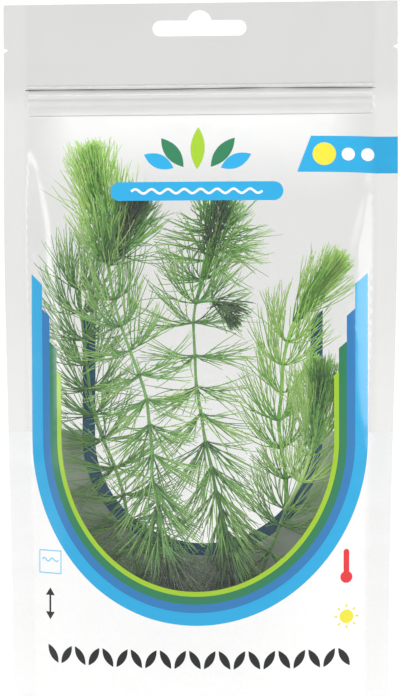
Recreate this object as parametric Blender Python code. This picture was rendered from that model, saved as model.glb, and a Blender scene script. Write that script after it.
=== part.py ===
"""A clear stand-up pouch holding stems of hornwort, in metres with +Z up.

The origin is at the middle of the base, on the surface the pouch stands on, and the front faces -Y.
The two films stand off the middle plane y = 0 by bulge(x, z). Everything inside is placed between them.
"""
import math
from collections import namedtuple

import bmesh
import bpy

MM = 0.001

# Outline, as seen from the front
HEIGHT = 240 * MM
HALF_WIDTH_TOP = 67.1 * MM
HALF_WIDTH_BASE = 63.9 * MM
WAIST_TOP_Z = 185 * MM
WAIST_BASE_Z = 10 * MM
SEAL_WIDTH = 7.3 * MM

# Thickness and depth
FILM = 0.3 * MM
GAP = 0.3 * MM
BELLY_DEPTH = 17.5 * MM
BELLY_TOP_Z = 206 * MM
BELLY_POWER = 6
BELLY_ROUND_BASE, BELLY_ROUND_TOP = 2.5, 5.5
BELLY_ROUND_LOW_Z, BELLY_ROUND_HIGH_Z = 60 * MM, 185 * MM

# Press-to-close zip, under the header
ZIP_Z = 207 * MM
ZIP_STANDOFF = 1.5 * MM
ZIP_REACH = 5.5 * MM
ZIP_FADE = 9.5 * MM
ZIP_END = 0.985
ZIP_FLANGE = 10 * MM
ZIP_FLANGE_THICK = 0.35 * MM
ZIP_HOOK_Z = 1.6 * MM

# Euro hang slot and tear notches
SLOT_Z = 231.5 * MM
SLOT_LENGTH = 32 * MM
SLOT_HEIGHT = 5.4 * MM
SLOT_BUMP_Z = 233.5 * MM
SLOT_BUMP_RADIUS = 4.1 * MM
NOTCH_Z = 224.5 * MM
NOTCH_DEPTH = 1.6 * MM
NOTCH_HEIGHT = 1.7 * MM
CUTTER_REACH = 6 * MM
ARC_STEPS = 9

# Film grid
BODY_ROWS = 12
BODY_COLUMNS = 12
HEADER_ROWS = (217 * MM, HEIGHT)
ROW_CLEARANCE = 2 * MM

# Gusset: a flange up each film, then a web that sags to a flat belly on the ground
GUSSET_END = 0.962
GUSSET_STEPS = 16
GUSSET_FOOT = 0.4 * MM
GUSSET_FOLD = 6 * MM
GUSSET_CORNER_RISE = 26 * MM
GUSSET_RISE_POWER = 1.5
BELLY_FLAT = 0.45
WEB_PROFILE = ((0.0, 0.0), (0.35, 0.0), (0.6, 0.0), (0.85, 0.45))

# Plants
PLANT_CLEARANCE = 0.7 * MM
STEM_RADIUS = 0.9 * MM
LAYER_HALF = 0.28
RING_SIDES = 8
FOOT_SQUEEZE = 0.5
FOOT_SQUEEZE_TOP = 16 * MM
WHORL_BELOW = 2 * MM
WHORL_ABOVE = 3.4 * MM
WHORL_ARCH = 0.5
BRUSH_NECK, BRUSH_START, BRUSH_END = 0.25, 0.1, 0.75
BRUSH_TIP = 3 * MM
BRUSH_TIP_SHARE = 0.35
SIDE_CLEARANCE = 3 * MM
FRONT, MIDDLE, BACK = -0.63, 0.0, 0.63

# A branch's nodes are its whorls of leaves, (x, z) in mm from the base up. Its leaves reach out from
# base_reach to full_reach over the first `ramp` nodes, and their tips end `rise` above the whorl.
# From node `brush_from` on the whorls are so close that they make one brush.
Branch = namedtuple("Branch", "name colour nodes layer start_layer base_reach full_reach ramp rise brush_from")

BRANCHES = (
    Branch("hornwort_tall_stem", "mid", (
        (-3.5, 0.9), (-4.5, 6.5), (-5.5, 16.5), (-6.5, 27), (-7, 37), (-8.5, 46.5), (-10, 54.5),
        (-12.5, 63), (-13, 71), (-15, 78.5), (-15, 87.5), (-16, 97.5), (-17, 106), (-19.5, 114),
        (-22.5, 122), (-25.5, 130), (-28, 139), (-30.4, 151.6),
    ), FRONT, FRONT, 1.4, 15, 7, (-3, 5), None),
    Branch("hornwort_tall_tip", "bright", (
        (-30.5, 152.2), (-31, 158.5), (-32, 164.5), (-33.5, 171.5), (-35, 178), (-36, 185), (-36.5, 190),
    ), MIDDLE, FRONT, 0.9, 12.5, 2, (4, 5), 1),
    Branch("hornwort_tall_shoot", "dark", (
        (-28.2, 151.2), (-26.5, 157), (-24.5, 163), (-22, 168.5), (-19.5, 173),
    ), FRONT, -0.72, 0.8, 10.5, 2, (4, 4), 1),
    Branch("hornwort_left_stem", "mid", (
        (-7.5, 0.9), (-9, 7), (-11, 16.5), (-14.5, 27), (-18.5, 36.5), (-21.5, 45.5), (-23.5, 54.5),
        (-25.5, 64), (-27, 72.5), (-30, 82), (-34, 91.5), (-37, 100), (-38.5, 108.5), (-39.5, 117),
        (-40.5, 126), (-41.5, 135), (-42, 143),
    ), BACK, BACK, 1.4, 15.5, 6, (-2, 6), None),
    Branch("hornwort_middle_stem", "mid", (
        (0.5, 0.9), (1, 7), (1.5, 16.5), (3, 27), (5, 36.5), (8, 45.5), (9.5, 54), (9, 61.5), (7, 68.5),
        (5.5, 75), (4, 83), (2, 91.5), (0.5, 101), (-1, 110), (-1.5, 120.5), (-2, 131.5), (-1.2, 138.2),
    ), MIDDLE, MIDDLE, 1.4, 15, 6, (-5, 2), None),
    Branch("hornwort_middle_tip", "dark", (
        (-0.9, 138.8), (1, 146), (2.5, 152.5), (4.5, 159.5), (6.5, 166), (8.5, 172.5),
    ), MIDDLE, MIDDLE, 0.9, 14, 2, (3, 3), 2),
    Branch("hornwort_middle_shoot", "dark", (
        (1.3, 137.4), (5, 138.6), (9, 136.5), (12.5, 131.5),
    ), FRONT, -0.2, 0.8, 9, 2, (3, 3), 1),
    Branch("hornwort_right_stem", "mid", (
        (4.3, 0.9), (5, 7), (7, 16.5), (11, 27), (15.5, 36.5), (20, 45), (23.5, 53.5), (27, 62.5),
        (28.9, 67.8),
    ), BACK, BACK, 1.4, 14.5, 6, (-3, 2), None),
    Branch("hornwort_right_tip", "bright", (
        (29.1, 68.4), (29, 78), (27.5, 88.5), (26.5, 98), (27.5, 107.5), (28, 117), (29.5, 125),
        (31.5, 131), (35.5, 136.5), (40, 142.5), (44, 148), (47, 152),
    ), BACK, BACK, 0.9, 14.5, 2, (2, 6), 7),
    Branch("hornwort_right_shoot", "dark", (
        (31.2, 68.6), (34.5, 78), (37.5, 86.5), (39.5, 95), (41, 103.5), (41, 110), (40, 117.5),
    ), FRONT, 0.2, 0.8, 11, 2, (3, 6), 2),
)

COLOURS = {
    "bright": (0.13, 0.32, 0.05),
    "mid": (0.08, 0.22, 0.04),
    "dark": (0.03, 0.11, 0.03),
}


def clear_scene():
    for obj in list(bpy.data.objects):
        bpy.data.objects.remove(obj)


def smoothstep(low, high, value):
    share = min(max((value - low) / (high - low), 0.0), 1.0)
    return share * share * (3 - 2 * share)


def mix(a, b, share):
    return a + (b - a) * share


def half_width(z):
    """Half the pouch's width at height z: it narrows where the belly takes up film."""
    return mix(HALF_WIDTH_BASE, HALF_WIDTH_TOP, smoothstep(WAIST_BASE_Z, WAIST_TOP_Z, z))


def seam_x(z):
    """Where the side seal's inner edge runs."""
    return half_width(z) - SEAL_WIDTH


def bulge(x, z):
    """How far each film's inner face stands off the middle plane: flatter across towards the zip."""
    across = min(abs(x) / seam_x(z), 1.0)
    belly = BELLY_DEPTH * (1 - (min(z, BELLY_TOP_Z) / BELLY_TOP_Z) ** BELLY_POWER)
    flatter = smoothstep(BELLY_ROUND_LOW_Z, BELLY_ROUND_HIGH_Z, z)
    power = mix(BELLY_ROUND_BASE, BELLY_ROUND_TOP, flatter)
    zip_share = 1 - smoothstep(ZIP_REACH, ZIP_FADE, abs(z - ZIP_Z))
    at_zip = ZIP_STANDOFF * zip_share * (1 - smoothstep(ZIP_END, 1, across))
    return GAP / 2 + max(belly * (1 - across**power), at_zip)


def material(name, colour, roughness, alpha=1.0):
    made = bpy.data.materials.new(name)
    made.use_nodes = True
    shader = made.node_tree.nodes["Principled BSDF"]
    shader.inputs["Base Color"].default_value = (*colour, 1)
    shader.inputs["Roughness"].default_value = roughness
    shader.inputs["Metallic"].default_value = 0
    shader.inputs["Alpha"].default_value = alpha
    return made


def new_object(name, points, faces, finish):
    mesh = bpy.data.meshes.new(name)
    mesh.from_pydata(points, [], faces)
    mesh.materials.append(finish)
    obj = bpy.data.objects.new(name, mesh)
    bpy.context.scene.collection.objects.link(obj)
    return obj


def face_outwards(obj):
    shape = bmesh.new()
    shape.from_mesh(obj.data)
    bmesh.ops.recalc_face_normals(shape, faces=shape.faces)
    shape.to_mesh(obj.data)
    shape.free()


def grid_faces(rows, columns, flip=False):
    """The quads of a grid of points stored row by row."""
    faces = []
    for row in range(rows - 1):
        for column in range(columns - 1):
            corner = row * columns + column
            quad = (corner, corner + 1, corner + columns + 1, corner + columns)
            faces.append(quad[::-1] if flip else quad)
    return faces


def thicken(obj, thickness):
    """Gives a sheet its thickness on the side that its normals point to."""
    solid = obj.modifiers.new("Thickness", "SOLIDIFY")
    solid.thickness = thickness
    solid.offset = 1


def film_rows():
    """Heights of the film grid's rows, closer together where the belly closes under the zip."""
    rows = [BELLY_TOP_Z * math.sin(math.pi / 2 * step / BODY_ROWS) for step in range(BODY_ROWS)]
    zip_rows = [ZIP_Z - ZIP_REACH, ZIP_Z + ZIP_REACH]
    rows = [z for z in rows if z < zip_rows[0] - ROW_CLEARANCE]
    return [*rows, *zip_rows, *HEADER_ROWS]


def film_columns(z):
    """X places of the film grid's columns at one height: outer edges, seams, zip ends and the belly."""
    seam = seam_x(z)
    inner = [seam * ZIP_END * (2 * step / BODY_COLUMNS - 1) for step in range(BODY_COLUMNS + 1)]
    return [-half_width(z), -seam, *inner, seam, half_width(z)]


def make_film(name, side, finish, cutters):
    """One panel. side is -1 for the front and 1 for the back."""
    points = []
    rows = film_rows()
    for z in rows:
        for x in film_columns(z):
            points.append((x, side * bulge(x, z), z))
    faces = grid_faces(len(rows), BODY_COLUMNS + 5, flip=side > 0)
    film = new_object(name, points, faces, finish)
    thicken(film, FILM)
    for cutter in cutters:
        cut = film.modifiers.new(cutter.name, "BOOLEAN")
        cut.operation = "DIFFERENCE"
        cut.solver = "EXACT"
        cut.object = cutter
    return film


def extrusion(name, start, end, finish):
    """A closed bar between two copies of an outline, given as two lists of points."""
    count = len(start)
    faces = [tuple(range(count)), tuple(range(2 * count - 1, count - 1, -1))]
    for index in range(count):
        after = (index + 1) % count
        faces.append((index, after, count + after, count + index))
    made = new_object(name, start + end, faces, finish)
    face_outwards(made)
    return made


def make_cutter(name, outline, finish):
    """A prism through both films, of an outline of (x, z) points."""
    front = [(x, -CUTTER_REACH, z) for x, z in outline]
    back = [(x, CUTTER_REACH, z) for x, z in outline]
    cutter = extrusion(name, front, back, finish)
    cutter.hide_render = True
    cutter.display_type = "WIRE"
    return cutter


def arc(centre_x, centre_z, radius, start, end):
    angles = [start + (end - start) * step / ARC_STEPS for step in range(ARC_STEPS + 1)]
    return [(centre_x + radius * math.cos(a), centre_z + radius * math.sin(a)) for a in angles]


def make_cutters(finish):
    """The hang slot with its round bump, and the two tear notches."""
    radius = SLOT_HEIGHT / 2
    straight = SLOT_LENGTH / 2 - radius
    quarter = math.pi / 2
    crossing = math.asin((SLOT_Z + radius - SLOT_BUMP_Z) / SLOT_BUMP_RADIUS)
    slot = arc(straight, SLOT_Z, radius, -quarter, quarter)
    slot += arc(0, SLOT_BUMP_Z, SLOT_BUMP_RADIUS, crossing, math.pi - crossing)
    slot += arc(-straight, SLOT_Z, radius, quarter, 3 * quarter)
    cutters = [make_cutter("slot_cutter", slot, finish)]
    for side, name in ((-1, "left_notch_cutter"), (1, "right_notch_cutter")):
        edge = side * (half_width(NOTCH_Z) + NOTCH_DEPTH)
        tip = side * (half_width(NOTCH_Z) - NOTCH_DEPTH)
        notch = [(tip, NOTCH_Z), (edge, NOTCH_Z - NOTCH_HEIGHT), (edge, NOTCH_Z + NOTCH_HEIGHT)]
        cutters.append(make_cutter(name, notch, finish))
    return cutters


def make_track(name, profile, finish):
    """A bar along the zip with a profile of (y, z) points."""
    half_length = seam_x(ZIP_Z) * ZIP_END - GAP
    left = [(-half_length, y, z) for y, z in profile]
    right = [(half_length, y, z) for y, z in profile]
    return extrusion(name, left, right, finish)


def make_zip_tracks(finish):
    """A flange on each film: the front one carries a ridge with a bulb, the back one two hooked jaws."""
    outer = ZIP_STANDOFF - GAP / 2
    inner = outer - ZIP_FLANGE_THICK
    low = ZIP_Z - ZIP_FLANGE / 2
    high = ZIP_Z + ZIP_FLANGE / 2
    hook = ZIP_Z + ZIP_HOOK_Z
    neck, bulb, bulb_start, bulb_end = 0.25 * MM, 0.5 * MM, -0.15 * MM, 0.45 * MM
    ridge = [
        (-outer, low), (-inner, low), (-inner, hook - neck), (bulb_start, hook - neck),
        (bulb_start, hook - bulb), (bulb_end, hook - neck), (bulb_end, hook + neck),
        (bulb_start, hook + bulb), (bulb_start, hook + neck), (-inner, hook + neck),
        (-inner, high), (-outer, high),
    ]
    make_track("zip_track_front", ridge, finish)
    jaw_in, jaw_out, lip, tip = 0.85 * MM, 1.25 * MM, 0.6 * MM, -0.5 * MM
    catch = tip + 0.05 * MM
    jaws = [
        (outer, high), (inner, high), (inner, hook + jaw_out), (tip, hook + jaw_out),
        (tip, hook + lip), (catch, hook + lip), (catch, hook + jaw_in), (inner, hook + jaw_in),
        (inner, hook - jaw_in), (catch, hook - jaw_in), (catch, hook - lip), (tip, hook - lip),
        (tip, hook - jaw_out), (inner, hook - jaw_out), (inner, low), (outer, low),
    ]
    make_track("zip_track_back", jaws, finish)


def gusset_section(x, share):
    """The gusset's points across the pouch at one x, from the front foot to the back foot."""
    rise = GUSSET_CORNER_RISE * smoothstep(BELLY_FLAT, 1, share) ** GUSSET_RISE_POWER
    fold = GUSSET_FOLD + rise
    belly = FILM + rise

    def wall(z):
        return bulge(x, z) - GAP

    half = [(wall(GUSSET_FOOT), GUSSET_FOOT), (wall(fold / 2), fold / 2), (wall(fold), fold)]
    for across, height in reversed(WEB_PROFILE):
        half.append((wall(fold) * across, mix(belly, fold, height)))
    front = [(x, -y, z) for y, z in half]
    back = [(x, y, z) for y, z in reversed(half[:-1])]
    return front + back


def make_gusset(finish):
    points = []
    reach = seam_x(0) * GUSSET_END
    for step in range(GUSSET_STEPS + 1):
        along = 2 * step / GUSSET_STEPS - 1
        section = gusset_section(along * reach, abs(along))
        points.extend(section)
    gusset = new_object("bottom_gusset", points, grid_faces(GUSSET_STEPS + 1, len(section)), finish)
    thicken(gusset, FILM)
    return gusset


def room(x, z):
    """Half the depth a plant has between the films, less near the foot, where the gusset narrows it."""
    squeeze = mix(FOOT_SQUEEZE, 1, smoothstep(0, FOOT_SQUEEZE_TOP, z))
    return (bulge(x, z) - PLANT_CLEARANCE) * squeeze


def ring(centre, lateral, reach, layer):
    """Points round a branch: reach wide, and as deep as its layer of the pouch allows."""
    points = []
    for side in range(RING_SIDES):
        angle = 2 * math.pi * side / RING_SIDES
        out = reach * math.cos(angle)
        z = centre[1] + out * lateral[1]
        limit = seam_x(z) - SIDE_CLEARANCE
        x = min(max(centre[0] + out * lateral[0], -limit), limit)
        space = room(x, z)
        deep = min(reach, LAYER_HALF * space)
        points.append((x, layer * space + deep * math.sin(angle), z))
    return points


def lateral_of(nodes, index):
    """The direction across a branch at a node, at right angles to its run."""
    before = nodes[max(index - 1, 0)]
    after = nodes[min(index + 1, len(nodes) - 1)]
    run = (after[0] - before[0], after[1] - before[1])
    length = math.hypot(*run)
    return run[1] / length, -run[0] / length


def brush_width(share):
    """A brush's half-width along its length, as a share of its leaves' reach."""
    swell = math.sin(math.pi * mix(BRUSH_START, BRUSH_END, share))
    return mix(BRUSH_NECK, 1, swell)


def branch_rings(branch):
    """Rings up a branch: stem, leaf tips, stem at each whorl, and then the brush."""
    nodes = [(x * MM, z * MM) for x, z in branch.nodes]
    last = len(nodes) - 1
    brush_from = last if branch.brush_from is None else branch.brush_from
    rings = []
    for index, node in enumerate(nodes):
        lateral = lateral_of(nodes, index)
        along = (-lateral[1], lateral[0])
        layer = mix(branch.start_layer, branch.layer, smoothstep(0, 1, index))
        grown = smoothstep(0, branch.ramp, index)
        reach = mix(branch.base_reach, branch.full_reach, grown) * MM

        def at(offset):
            return node[0] + along[0] * offset, node[1] + along[1] * offset

        if index == 0 or (index == last and branch.brush_from is None):
            rings.append(ring(node, lateral, STEM_RADIUS, layer))
        elif index < brush_from:
            arch = mix(*branch.rise, index / last) * MM * grown * WHORL_ARCH
            rings.append(ring(at(min(arch, 0) - WHORL_BELOW), lateral, STEM_RADIUS, layer))
            rings.append(ring(at(arch), lateral, reach, layer))
            rings.append(ring(at(max(arch, 0) + WHORL_ABOVE), lateral, STEM_RADIUS, layer))
        else:
            share = (index - brush_from) / (last - brush_from)
            rings.append(ring(node, lateral, reach * brush_width(share), layer))
            if index == last:
                rings.append(ring(at(BRUSH_TIP), lateral, reach * BRUSH_TIP_SHARE, layer))
    return rings


def make_branch(branch, finish):
    rings = branch_rings(branch)
    points = [point for one in rings for point in one]
    faces = []
    for start in range(0, len(points) - RING_SIDES, RING_SIDES):
        for side in range(RING_SIDES):
            after = (side + 1) % RING_SIDES
            faces.append((start + side, start + after, start + RING_SIDES + after, start + RING_SIDES + side))
    faces.append(tuple(range(RING_SIDES - 1, -1, -1)))
    faces.append(tuple(range(len(points) - RING_SIDES, len(points))))
    made = new_object(branch.name, points, faces, finish)
    face_outwards(made)
    return made


def main():
    clear_scene()
    film = material("clear_film", (0.9, 0.92, 0.92), 0.2, alpha=0.3)
    zip_finish = material("zip_plastic", (0.82, 0.84, 0.85), 0.35, alpha=0.7)
    cutters = make_cutters(film)
    make_film("front_film", -1, film, cutters)
    make_film("back_film", 1, film, cutters)
    make_gusset(film)
    make_zip_tracks(zip_finish)
    greens = {name: material(f"leaf_{name}", colour, 0.45) for name, colour in COLOURS.items()}
    for branch in BRANCHES:
        make_branch(branch, greens[branch.colour])


main()
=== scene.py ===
"""The looks of a clear stand-up pouch holding stems of hornwort, in metres with +Z up.

The pouch's front faces -Y. Its two films stand off the middle plane by bulge(x, z), as the CAD's do.
Each film is triangulated flat, with its print's outlines as edges, and then laid on that shape.
"""
import math
import random
from collections import namedtuple
from functools import reduce

import bpy
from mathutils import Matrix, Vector, geometry, kdtree, noise


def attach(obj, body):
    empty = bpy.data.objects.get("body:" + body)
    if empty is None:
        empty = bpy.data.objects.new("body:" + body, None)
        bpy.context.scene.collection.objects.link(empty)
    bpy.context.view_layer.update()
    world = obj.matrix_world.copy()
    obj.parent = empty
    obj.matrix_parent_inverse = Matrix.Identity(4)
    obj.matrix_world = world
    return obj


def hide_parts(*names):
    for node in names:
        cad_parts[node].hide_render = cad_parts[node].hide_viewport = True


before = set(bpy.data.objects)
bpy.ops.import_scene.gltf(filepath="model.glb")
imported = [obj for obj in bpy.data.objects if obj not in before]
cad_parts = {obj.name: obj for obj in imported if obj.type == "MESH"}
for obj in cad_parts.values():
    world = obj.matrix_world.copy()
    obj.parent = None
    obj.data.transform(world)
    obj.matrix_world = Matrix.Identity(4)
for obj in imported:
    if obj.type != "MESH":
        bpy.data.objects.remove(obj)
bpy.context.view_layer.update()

MM = 0.001

# The pouch's outline and depth, as in the CAD
HEIGHT = 240 * MM
HALF_WIDTH_TOP = 67.1 * MM
HALF_WIDTH_BASE = 63.9 * MM
WAIST_TOP_Z = 185 * MM
WAIST_BASE_Z = 10 * MM
SEAL_WIDTH = 7.3 * MM
BELLY_DEPTH = 17.5 * MM
BELLY_TOP_Z = 206 * MM
BELLY_POWER = 6
BELLY_ROUND_BASE, BELLY_ROUND_TOP = 2.5, 5.5
BELLY_ROUND_LOW_Z, BELLY_ROUND_HIGH_Z = 60 * MM, 185 * MM
ZIP_Z = 207 * MM
ZIP_STANDOFF = 1.5 * MM
ZIP_REACH = 5.5 * MM
ZIP_FADE = 9.5 * MM
ZIP_END = 0.985
SLOT_Z = 231.5 * MM
SLOT_LENGTH = 32 * MM
SLOT_HEIGHT = 5.4 * MM
SLOT_BUMP_Z = 233.5 * MM
SLOT_BUMP_RADIUS = 4.1 * MM
NOTCH_Z = 224.5 * MM
NOTCH_DEPTH = 1.6 * MM
NOTCH_HEIGHT = 1.7 * MM

# Film mesh
FILM = 0.16 * MM
INNER_GAP = 0.02 * MM
GRID = 1.9 * MM
EDGE_STEP, BAR_STEP, DISC_STEP = 1.3 * MM, 0.6 * MM, 0.5 * MM
LEAF_MARK_STEPS = 12
KEEP_OFF = 0.75 * MM
SMOOTH_TO = 50
ZIP_RIDGES = ((211.35 * MM, 0.34 * MM), (208.5 * MM, 0.3 * MM), (206.1 * MM, 0.14 * MM))
RIDGE_HALF = 0.5 * MM
# A painted shadow line along the foot of the zip's top ridge.
ZIP_LINE_Z = 210.65 * MM
ZIP_LINE_STEPS = 120
ZIP_TOP, ZIP_TOP_END = 212.1 * MM, 212.6 * MM
SLACK_REACH = 12 * MM
SLACK_TOP, SLACK_END = 188 * MM, 204 * MM
PUCKER_REACH = 5 * MM
DENTS, PUCKERS = ((38, 0.45), (90, 0.16)), (150, 0.3)  # how often along the film, and how high in mm
HEADER_Z, HEADER_CURL, HEADER_WAVE = 212 * MM, 0.9 * MM, (26, 0.7)

# Print
LEVEL_Z = 94.5 * MM
FRAME_Z = 92.4 * MM
FRAME_RX = 57 * MM
FRAME_RZ = 61.5 * MM
FRAME_INNER = 11.2 * MM
BAND_SLANT = 0.9
BACK_R = 41.5 * MM
BACK_BAND = 4.2 * MM
BACK_TOP = 136 * MM
PRINT_EDGE = HALF_WIDTH_TOP + 2 * MM
LEFT_MARKS_X, RIGHT_MARKS_X = -50.2 * MM, 49.8 * MM

# Rows of the front's print, in mm and degrees
FRAME_BANDS = (  # ink, first and last inset, top
    ("sky", 0, 4.2, 148), ("blue", 4.2, 7, 136), ("green", 7, 9.6, 125), ("lime", 9.6, 11.2, 115),
)
WATER_BAR = (0, 175.2, 29, 3.2)  # x, z, half length, half height
WATER_LINE = (0, 175.2, 22, 0.75, 5.5, 0.8)  # x, z, half length, height, wave's length, width
FAN = (  # ink, x, z, half length, tilt
    ("sky", -13, 185.5, 5.6, 155), ("green", -8.5, 188.5, 6.4, 128), ("lime", 0, 190, 7.4, 90),
    ("green", 8.5, 188.5, 6.4, 52), ("sky", 13, 185.5, 5.6, 25),
)
FAN_BREADTH = 2.4
TAB_LOW, TAB_HIGH, TAB_LOW_END, TAB_HIGH_END = 181.6, 194, 33.5, 38
TAB_DOTS_Z = 187.8
TAB_DOTS = (("yellow", 42.5, 3.9), ("white", 50.5, 2.2), ("white", 57, 2.2))  # ink, x, radius
SQUARES = (("pale", 4.2, 46.5, 54.5), ("white", 3.8, 46.9, 54.1))  # ink, half width, low, high
SQUARE_WAVE_Z = 51.2
SQUARE_WAVE = (3, 0.6, 3, 0.5)  # half length, height, wave's length, width
ARROW = (36.4, 5.4)  # z, half height
ARROW_HEAD, ARROW_SHAFT, ARROW_HEAD_LENGTH = 1.7, 0.35, 2.6
CAPSULE_Z = 51
CAPSULE = (4.6, 0.95)  # half length, half breadth
CAPSULE_DISC = (46.2, 2)  # z, radius
SUN_Z, SUN_RADIUS, SUN_RAY, SUN_RAY_WIDTH, SUN_RAYS = 33, 2.3, (3, 3.5, 4), 0.6, 8
GARLAND_Z, GARLAND_END, GARLAND_GAPS, GARLAND_TILTS = 19.6, 49, 20, (122, 58)
GARLAND_LEAF = (3.6, 1.25)  # half length, half breadth

Shape = namedtuple("Shape", "ink outline")

# Gusset, as in the CAD
CAD_FILM = 0.3 * MM
GUSSET_END = 0.975
GUSSET_STEPS = 72
GUSSET_FOOT = 0.4 * MM
GUSSET_FOLD = 6 * MM
GUSSET_CORNER_RISE = 26 * MM
GUSSET_RISE_POWER = 1.5
BELLY_FLAT = 0.45
WEB_PROFILE = ((0.0, 0.0), (0.2, 0.0), (0.4, 0.0), (0.55, 0.0), (0.68, 0.06), (0.8, 0.25), (0.9, 0.55),
               (0.96, 0.85))
FLANGE_OFFSET = 0.28 * MM

# Plants
PLANT_CLEARANCE = 0.7 * MM
FOOT_SQUEEZE = 0.5
FOOT_SQUEEZE_TOP = 16 * MM
FRONT, MIDDLE, BACK = -0.63, 0.0, 0.63
LEAF_DEPTH = 0.34
SIDE_BIAS = 0.5
SIDE_CLEARANCE = 1.6 * MM
SIDE_SOFTNESS = 6 * MM
STEM_RADII = (0.7 * MM, 0.45 * MM)
LEAF_RADII = (0.34 * MM, 0.28 * MM, 0.21 * MM, 0.12 * MM)
LEAF_SHARES = (0.16, 0.24, 0.6)
LEAF_STEPS = (2, 3, 6)
TOOTH_HEIGHT = 0.42 * MM
TOOTH_BASE = 0.16 * MM
BRUSH_SPACING = 2.0 * MM
CURL_POWER = 1.9

# A leaf's vigour falls to its core, all the more in a dark brush, and rises to its tip
LEAF_CORE, DARK_CORE, DARK_TIP = 0.31, 0.45, 0.4
DARK_FROM, DARK_TO = 0.05, 0.6
LEAF_TIP, TIP_STRAY, WHORL_STRAY = 0.32, (-0.2, 0.16), 0.08
FACING_SHADE = {"leaf_bright": 0.2, "leaf_mid": 0, "leaf_dark": 0.5}
# Painted shade: in a brush the leaves' parts are darker towards its axis, where its dense middle lies in
# shade.
BRUSH_RIM = (1.5 * MM, 6 * MM)
BRUSH_RIM_LEAST, BRUSH_RIM_FROM = 0.4, 0.7
# Painted shade: leaves near the plants' feet are darker, as the pouch's bottom lies in shadow.
FOOT_SHADE = 0.72
FOOT_SHADE_PLACE = (-2 * MM, 36 * MM)
FOOT_SHADE_REACH = (11 * MM, 27 * MM)

# A leaf's part strays by WAVER (radians), bends by LEAF_BEND and forks by FORK_FAN (degrees) and
# FORK_TWIST (radians). The two forks bend faster and slower than the part before.
WAVER = (0.08, 0.16, 0.36)
LEAF_BEND = 2.6
FORK_FAN, FORK_TWIST, FORKS = (4, 9), (0.08, 0.3), ((-1, 1.5), (1, 0.72))

# A leaf's first and last angle off the stem, in degrees, for each curl
CURLS = ((-3.2, 164, 168), (-2.4, 157, 154), (-1.8, 148, 136), (-1.2, 138, 116), (-0.6, 128, 94), (0, 98, 62),
         (0.5, 84, 32), (1, 86, 10), (1.3, 80, 4))

# The same in a brush: loose, upright at its foot, upright at its tip, and tight
BRUSH_FIRST, BRUSH_LAST = (84, 64, 40, 24), (66, 15, 9, 0)
BRUSH_TOP = 2 * MM
BRUSH_OVERRUN, BRUSH_LOOSE_LENGTH, BRUSH_VIGOUR_FROM = 1.04, 1.3, 0.4
STEM_STEPS, STEM_SIDES, NODE_SWELL, NODE_REACH = 6, 7, 0.25, 1.5
YOUNGEST_LENGTH = 0.6

# A branch's nodes are its whorls of leaves, (x, z) in mm from the base up. It starts in one layer of the
# pouch's depth and goes over to another before its first whorl. Its leaves reach full length over the
# first `ramp` nodes. `curl` at the base and at the tip is a row of CURLS: below 0 the leaves droop, at 1
# they turn up like a candelabra, and above 1 a brush is tighter. From node `brush_from` on the whorls are
# so close that they make one brush. `leaves` is how many a whorl has, `length` theirs in mm, `spread` how
# far their angles stray in degrees, and `vigour` runs from an old dark green to a young bright one.
Branch = namedtuple(
    "Branch", "name slot nodes layer start_layer ramp curl brush_from leaves length spread vigour")

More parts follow.
